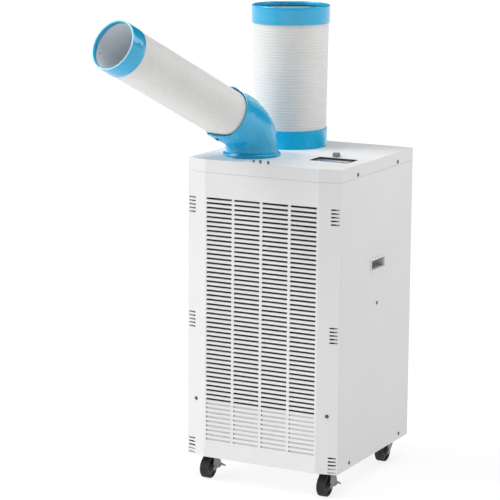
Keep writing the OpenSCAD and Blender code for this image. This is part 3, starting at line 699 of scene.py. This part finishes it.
RIDGE_H = 3.2                               # a flat ridge runs up the elbow's back
RIDGE_EDGE, RIDGE_FOOT = 10.5, 13.5         # where its top and its slope end, in degrees from its middle
RIDGE_ANGLES = {RIDGE_EDGE, RIDGE_FOOT, 360 - RIDGE_FOOT, 360 - RIDGE_EDGE}
ELBOW_ANGLES = sorted({i * 3.0 for i in range(120)} | RIDGE_ANGLES)
ELBOW_R, ELBOW_BORE, SOCKET_BORE = 59.8, 56.6, 58.8
BEND_STEPS = 15
SOCKET_START = 84.0                         # along DUCT, where the socket's shaped end starts
MOUTH, EAR_R = 98.0, 13.0                   # how far the mouth reaches, and the upper ear's radius
TONGUE, TONGUE_HALF = 27.0, 44.0            # the lower ear's length and half its width


def rim(across, upper):
    """How far along the duct's axis the mouth reaches, at a distance across from the pivot line."""
    a = abs(across)
    if upper:
        if a >= EAR_R:
            return MOUTH
        return max(MOUTH, PIVOT + math.sqrt(EAR_R * EAR_R - a * a) * (1 - 0.06 * (a / EAR_R) ** 6))
    if a >= TONGUE_HALF:
        return MOUTH
    return MOUTH + TONGUE * (0.5 + 0.5 * math.cos(math.pi * a / TONGUE_HALF)) ** 1.15


def raised(degrees, ridge):
    """How far a ridge of that height stands out at an angle from its middle."""
    off = min(degrees, 360 - degrees)
    if off <= RIDGE_EDGE:
        return ridge
    return ridge * 0.5 if off < RIDGE_FOOT else 0.0


def elbow_ring(centre, back, r, ridge=0.0):
    """A ring about a point of the elbow's axis. It starts at the back, in the middle of the ridge."""
    ring = []
    for degrees in ELBOW_ANGLES:
        a = math.radians(degrees)
        out = math.cos(a) * back + math.sin(a) * SIDE
        ring.append(centre + (r + raised(degrees, ridge)) * out)
    return ring


def foot_ring(height, r, ridge=0.0):
    """A ring of the elbow's foot at a height above the cabinet's top."""
    return elbow_ring(COLD + (TOP + height) * UP, -HEADING, r, ridge)


def bend_ring(share, r, ridge=0.0):
    """A ring of the bend, share of the way round it."""
    a = BEND_ANGLE * share
    back = -HEADING * math.cos(a) + UP * math.sin(a)
    middle = COLD + (TOP + BEND_H - BEND_RUN) * UP + BEND_R * HEADING
    return elbow_ring(middle + BEND_R * back, back, r, ridge)


def duct_ring(along, r, ridge=0.0):
    """A ring at a distance along the duct's axis."""
    return elbow_ring(CROSSING + along * DUCT, BACK, r, ridge)


def mouth_ring(r, share=1.0, lift=0.0):
    """A ring of the socket, share of the way from its start to the mouth's shaped rim."""
    ring = []
    for degrees in ELBOW_ANGLES:
        a = math.radians(degrees)
        end = rim(r * math.sin(a), math.cos(a) > 0) + lift
        along = SOCKET_START + (end - SOCKET_START) * share
        ring.append(CROSSING + along * DUCT + r * (math.cos(a) * BACK + math.sin(a) * SIDE))
    return ring


def elbow_rings():
    """Rings of the elbow from the foot's outer edge up to the mouth, and back down inside."""
    flange = [(2.3, 64.6), (2.7, 65.6), (5.6, 65.6), (6.6, 64.9), (7.1, 62.6)]
    rings = [foot_ring(height, r) for height, r in flange]
    rings += [foot_ring(7.8, 60.9, 0.4), foot_ring(9.2, 60.2, 1.8)]
    rings.append(foot_ring(BEND_H - BEND_RUN, ELBOW_R, RIDGE_H))
    for k in range(1, BEND_STEPS):
        share = k / BEND_STEPS
        rings.append(bend_ring(share, ELBOW_R - 0.2 + 0.3 * math.sin(math.pi * share), RIDGE_H))
    rings.append(bend_ring(1.0, ELBOW_R, RIDGE_H))
    ridge_end = [(54, 59.9, RIDGE_H), (62, 60.1, 3.1), (69, 60.4, 2.4), (74, 60.9, 0.8), (80, 61.3, 0.0)]
    rings += [duct_ring(along, r, ridge) for along, r, ridge in ridge_end]
    rings += [mouth_ring(SOCKET_R, share) for share in (0.35, 0.6, 0.8, 0.92)]
    lip = [(SOCKET_R, -0.9), (SOCKET_R - 0.35, -0.25), (SOCKET_R - 1.35, 0.0), (SOCKET_R - 2.35, -0.25),
           (SOCKET_BORE, -0.9)]
    rings += [mouth_ring(r, lift=lift) for r, lift in lip]
    rings += [mouth_ring(SOCKET_BORE, share) for share in (0.8, 0.5, 0.2)]
    rings += [duct_ring(81, SOCKET_BORE), duct_ring(80.4, 57.0), duct_ring(60, ELBOW_BORE)]
    rings += [bend_ring(k / BEND_STEPS, ELBOW_BORE) for k in range(BEND_STEPS, -1, -1)]
    rings += [foot_ring(13.4, 57.1), foot_ring(2.3, 57.1)]
    return rings


elbow = Solid()
elbow.rings(elbow_rings())
elbow.make("outlet_elbow", ["blue_plastic"], "duct_head", ["elbow"], 38)


# ---- Screws ----

HEAD_R, HEAD_H, LOW_HEAD_H = 4.4, 1.6, 1.5


def screw_head(solid, origin, axis, h):
    """A domed pan head. Its cross recess is a dark flat cross laid on the dome: painted shade."""
    place = along_axis(origin, axis)
    r, half_bar, half_cross = HEAD_R, HEAD_R * 0.13, HEAD_R * 0.55
    dome = [(r, 0), (r, h * 0.35), (r * 0.93, h * 0.62), (r * 0.78, h * 0.84), (r * 0.66, h * 0.94)]
    solid.lathe(dome + [(r * 0.60, h)], place, 32, closed=False)
    bar = [(-half_cross, -half_bar), (half_cross, -half_bar), (half_cross, half_bar), (-half_cross, half_bar)]
    for turn in (0, 90):
        spin = place @ Matrix.Rotation(math.radians(turn), 4, "Z")
        # painted shade: a dark flat cross stands in for the shaded cross recess
        solid.slab(bar, h - 0.02, h + 0.05, spin, group=1)


def cabinet_screw_heads():
    """Screws of the cover's skirt, of the side panels and of the front's slanted strips.

    Their heights are above the cabinet's underside.
    """
    heads = Solid()
    for y in (-103, 114):
        for s in (-1, 1):
            screw_head(heads, (s * HALF_WIDTH, y, BASE + 667), (s, 0, 0), LOW_HEAD_H)
    panel_face = HALF_WIDTH - 0.4
    for y, height in ((-126, 13), (150, 13), (11, 356)):
        for s in (-1, 1):
            screw_head(heads, (s * panel_face, y, BASE + height), (s, 0, 0), HEAD_H)
    middle = STRIP_X + STRIP_W / 2
    for s in (-1, 1):
        screw_head(heads, (s * middle, FRONT_Y + STRIP_BACK / 2, BASE + 134), (s * STRIP_BACK, -STRIP_W, 0),
                   HEAD_H)
    heads.make("cabinet_screw_heads", ["screw_steel", "ink_and_cross_shade"], "cabinet",
               ["cabinet_screws"], 30)


cabinet_screw_heads()


# ---- Top of the cabinet: marks, seal of the recess and knob ----

TRAY = Vector((113.0, -66.5, TOP))
KNOB = Vector((98.0, -21.0, TOP))
FLUTES = 24


def index_marks():
    """Three printed bars in front of the elbow, raised a little on the cover."""
    marks = Solid()
    for x, y, length in ((-34.3, -171.0, 30.0), (-17.2, -172.0, 47.0), (3.5, -174.0, 47.0)):
        place = upright((x, y, TOP)) @ Matrix.Rotation(math.radians(27.5), 4, "Z")
        marks.slab(rounded_box(5.0, length, 2.0, 4), -0.1, 0.25, place)
    marks.make("index_marks", ["ink_and_cross_shade"], "cabinet")


def recess_seal():
    """A rubber seal that lines the recess. Its section is width, depth, height and corner radius."""
    section = [(93.2, 52.2, -3.9, 3.0), (91.4, 50.4, -3.9, 2.4), (91.2, 50.2, 0.1, 2.4),
               (91.8, 50.8, 0.45, 2.8), (95.2, 54.2, 0.45, 3.6), (95.8, 54.8, 0.25, 3.8),
               (95.8, 54.8, 0.05, 3.8), (93.2, 52.2, 0.05, 3.0)]
    seal = Solid()
    seal.rings([[TRAY + Vector((x, y, z)) for x, y in rounded_box(w, d, r)] for w, d, z, r in section])
    seal.make("recess_seal", ["black_rubber"], "cabinet")


def fluted_ring(r, depth, z):
    """A circle with shallow flutes."""
    steps = 6 * FLUTES
    ring = []
    for k in range(steps):
        a = 2 * math.pi * k / steps
        dip = depth * (0.5 + 0.5 * math.cos(FLUTES * a)) ** 2
        ring.append(KNOB + Vector(((r - dip) * math.cos(a), (r - dip) * math.sin(a), z)))
    return ring


def fluted_knob():
    """The knob, with a white pointer. Its section is radius, depth of the flutes and height."""
    section = [(8.9, 0, 1.7), (9.5, 0, 2.1), (9.5, 0, 3.3), (9.1, 0, 3.9), (8.6, 0.35, 4.3),
               (8.45, 0.5, 5.2), (8.3, 0.5, 8.3), (8.0, 0.3, 9.0), (7.4, 0.05, 9.5),
               (6.9, 0, 9.55), (6.6, 0, 9.2), (3.0, 0, 9.1)]
    knob = Solid()
    knob.rings([fluted_ring(*point) for point in section], closed=False, caps=True)
    pointer = [(-0.75, 0.5), (0.75, 0.5), (0.55, 6.3), (-0.55, 6.3)]
    knob.slab(pointer, 9.0, 9.75, upright(KNOB), 0.15, group=1)
    knob.make("fluted_knob", ["knob_plastic", "cover_plastic"], "selector", ["mode_knob"], 35)


index_marks()
recess_seal()
fluted_knob()


# ---- Wheels of the casters ----

GROOVES = (-6.2, -3.1, 0.0, 3.1, 6.2)
GROOVE_TOP, GROOVE_BOTTOM, GROOVE_DEPTH = 0.62, 0.38, 0.8   # half widths, and the depth
SPOKES = 6


def tyre_section():
    """The rubber tread with its grooves: radius and distance from the wheel's middle."""
    shoulder = [(20.5, 10.0), (23.7, 10.0), (24.6, 9.4), (WHEEL_R, 8.4)]
    tread = [(r, -h) for r, h in shoulder]
    for g in GROOVES:
        bottom = WHEEL_R - GROOVE_DEPTH
        tread += [(WHEEL_R, g - GROOVE_TOP), (bottom, g - GROOVE_BOTTOM),
                  (bottom, g + GROOVE_BOTTOM), (WHEEL_R, g + GROOVE_TOP)]
    return tread + shoulder[::-1]


def wheel(name, x, y):
    """A tyre on a moulded core with spokes on both sides."""
    place = along_axis((x, y - WHEEL_TRAIL, WHEEL_R), (1, 0, 0), (0, 1, 0))
    tread = tyre_section()
    side = [(20.2, 9.0), (19.4, 7.6), (18.8, 6.2), (11.0, 6.0),
            (9.7, 6.6), (9.2, 11.6), (8.8, 12.0), (4.2, 12.0)]
    section = tread + side + [(r, -h) for r, h in reversed(side)]
    core = range(len(tread) - 1, len(section) - 1)
    solid = Solid()
    solid.lathe(section, place, 72, group=lambda i: 1 if i in core else 0)
    spoke = [(9.4, -0.9), (19.0, -1.3), (19.0, 1.3), (9.4, 0.9)]
    for k in range(SPOKES):
        turn = place @ Matrix.Rotation(2 * math.pi * k / SPOKES, 4, "Z")
        for low in (5.7, -7.5):
            solid.slab(spoke, low, low + 1.8, turn, 0.2, group=1)
    solid.make(name + "_tyre", ["wheel_rubber", "wheel_core"], name + "_roller",
               [name + "_wheel"], 35)


for caster, (x, y) in CASTERS.items():
    wheel(caster, x, y)


# ---- Softer edges on the CAD pieces ----

EDGE_WIDTHS = {
    0.3: ("front_left_fork", "front_right_fork", "rear_left_fork", "rear_right_fork"),
    0.35: ("front_cover",),
    0.4: ("base_pan", "caster_plates", "electrical_box", "outlet_ring"),
    0.5: ("rear_panel",),
    0.6: ("left_side_panel", "right_side_panel", "left_handle_cup", "right_handle_cup", "control_tray"),
    0.7: ("front_left_brake", "front_right_brake"),
    0.8: ("cord_gland",),
    1.0: ("fan_motor",),
    1.4: ("top_cover", "drain_tank"),
    1.5: ("compressor",),
}
for width, names in EDGE_WIDTHS.items():
    for node_name in names:
        soften(node_name, width)


# ---- Floor, light and camera, in metres ----

FLOOR_HALF = 40
WALL_R, WALL_H, WALL_STEPS = 36.0, 3.4, 64
LENS = 158.78
CAMERA_PLACE = (2.1952, -4.4796, 1.4983)
YAW, PITCH, ROLL = math.radians(27.441), math.radians(11.086), math.radians(0.404)


def sun(name, azimuth, elevation, strength, spread):
    """A wide distant lamp. Azimuth 0 is in front of the cabinet and grows to the right."""
    data = bpy.data.lights.new(name, "SUN")
    data.energy = strength
    data.angle = math.radians(spread)
    lamp = bpy.data.objects.new(name, data)
    scene.collection.objects.link(lamp)
    a, e = math.radians(azimuth), math.radians(elevation)
    toward = Vector((math.sin(a) * math.cos(e), -math.cos(a) * math.cos(e), math.sin(e)))
    lamp.rotation_euler = toward.to_track_quat("Z", "Y").to_euler()


def softbox(name, place, target, size, power):
    """A square lamp at a place, turned to a target."""
    data = bpy.data.lights.new(name, "AREA")
    data.size = size
    data.energy = power
    lamp = bpy.data.objects.new(name, data)
    scene.collection.objects.link(lamp)
    lamp.location = place
    lamp.rotation_euler = (Vector(place) - Vector(target)).to_track_quat("Z", "Y").to_euler()


def glowing_paper(name, glow):
    """Grey paper that glows, so that it renders white apart from a faint shadow."""
    look = Look(name, (0.15, 0.15, 0.15), 0.9)
    look.clouds(3.0, 3.0, 0.3, 0.8, (0.14, 0.14, 0.14), 0.4)
    look.shader.inputs["Emission Color"].default_value = (1, 1, 1, 1)
    look.shader.inputs["Emission Strength"].default_value = glow
    return look


def paper_sheet(name, verts, faces, look):
    mesh = bpy.data.meshes.new(name)
    mesh.from_pydata(verts, [], faces)
    mesh.materials.append(look.material)
    sheet = bpy.data.objects.new(name, mesh)
    scene.collection.objects.link(sheet)
    return sheet


def studio():
    """A white floor, a round backdrop, a dim world, two suns and two small softboxes."""
    floor_look = glowing_paper("floor_paper", 0.85)
    floor_look.bump(floor_look.noise(300.0, 3.0), 0.0001, 0.3)
    corners = [(-FLOOR_HALF, -FLOOR_HALF, 0), (FLOOR_HALF, -FLOOR_HALF, 0),
               (FLOOR_HALF, FLOOR_HALF, 0), (-FLOOR_HALF, FLOOR_HALF, 0)]
    floor = paper_sheet("floor", corners, [(0, 1, 2, 3)], floor_look)
    turns = [2 * math.pi * k / WALL_STEPS for k in range(WALL_STEPS)]
    ring = [(WALL_R * math.cos(a), WALL_R * math.sin(a)) for a in turns]
    wall = []
    for k in range(WALL_STEPS):
        m = (k + 1) % WALL_STEPS
        wall.append((k, m, WALL_STEPS + m, WALL_STEPS + k))
    backdrop = paper_sheet("backdrop", [(x, y, 0) for x, y in ring] + [(x, y, WALL_H) for x, y in ring], wall,
                           glowing_paper("wall_paper", 1.0))
    world = bpy.data.worlds.new("studio")
    world.use_nodes = True
    background = world.node_tree.nodes["Background"]
    background.inputs["Color"].default_value = (1, 1, 1, 1)
    background.inputs["Strength"].default_value = 0.03
    scene.world = world
    sun("key", -62, 38, 2.7, 40)
    sun("overhead", 60, 80, 1.9, 50)
    softbox("side", (1.15, 0.1, 1.40), (0.19, 0.0, 0.62), 0.9, 0.6)
    softbox("rear", (0.8, 0.5, 1.6), (0.0, 0.0, 0.95), 0.6, 3.0)


def camera():
    """The photograph's view: from the front right and a little above."""
    data = bpy.data.cameras.new("camera")
    data.sensor_width = 36.0
    data.lens = LENS
    data.clip_start, data.clip_end = 0.05, 100
    cam = bpy.data.objects.new("camera", data)
    scene.collection.objects.link(cam)
    forward = Vector((-math.sin(YAW) * math.cos(PITCH), math.cos(YAW) * math.cos(PITCH), -math.sin(PITCH)))
    cam.rotation_mode = "QUATERNION"
    turn = forward.to_track_quat("-Z", "Y")
    cam.rotation_quaternion = turn @ Matrix.Rotation(ROLL, 4, "Z").to_quaternion()
    cam.location = CAMERA_PLACE
    scene.camera = cam


studio()
camera()
scene.view_settings.view_transform = "Standard"
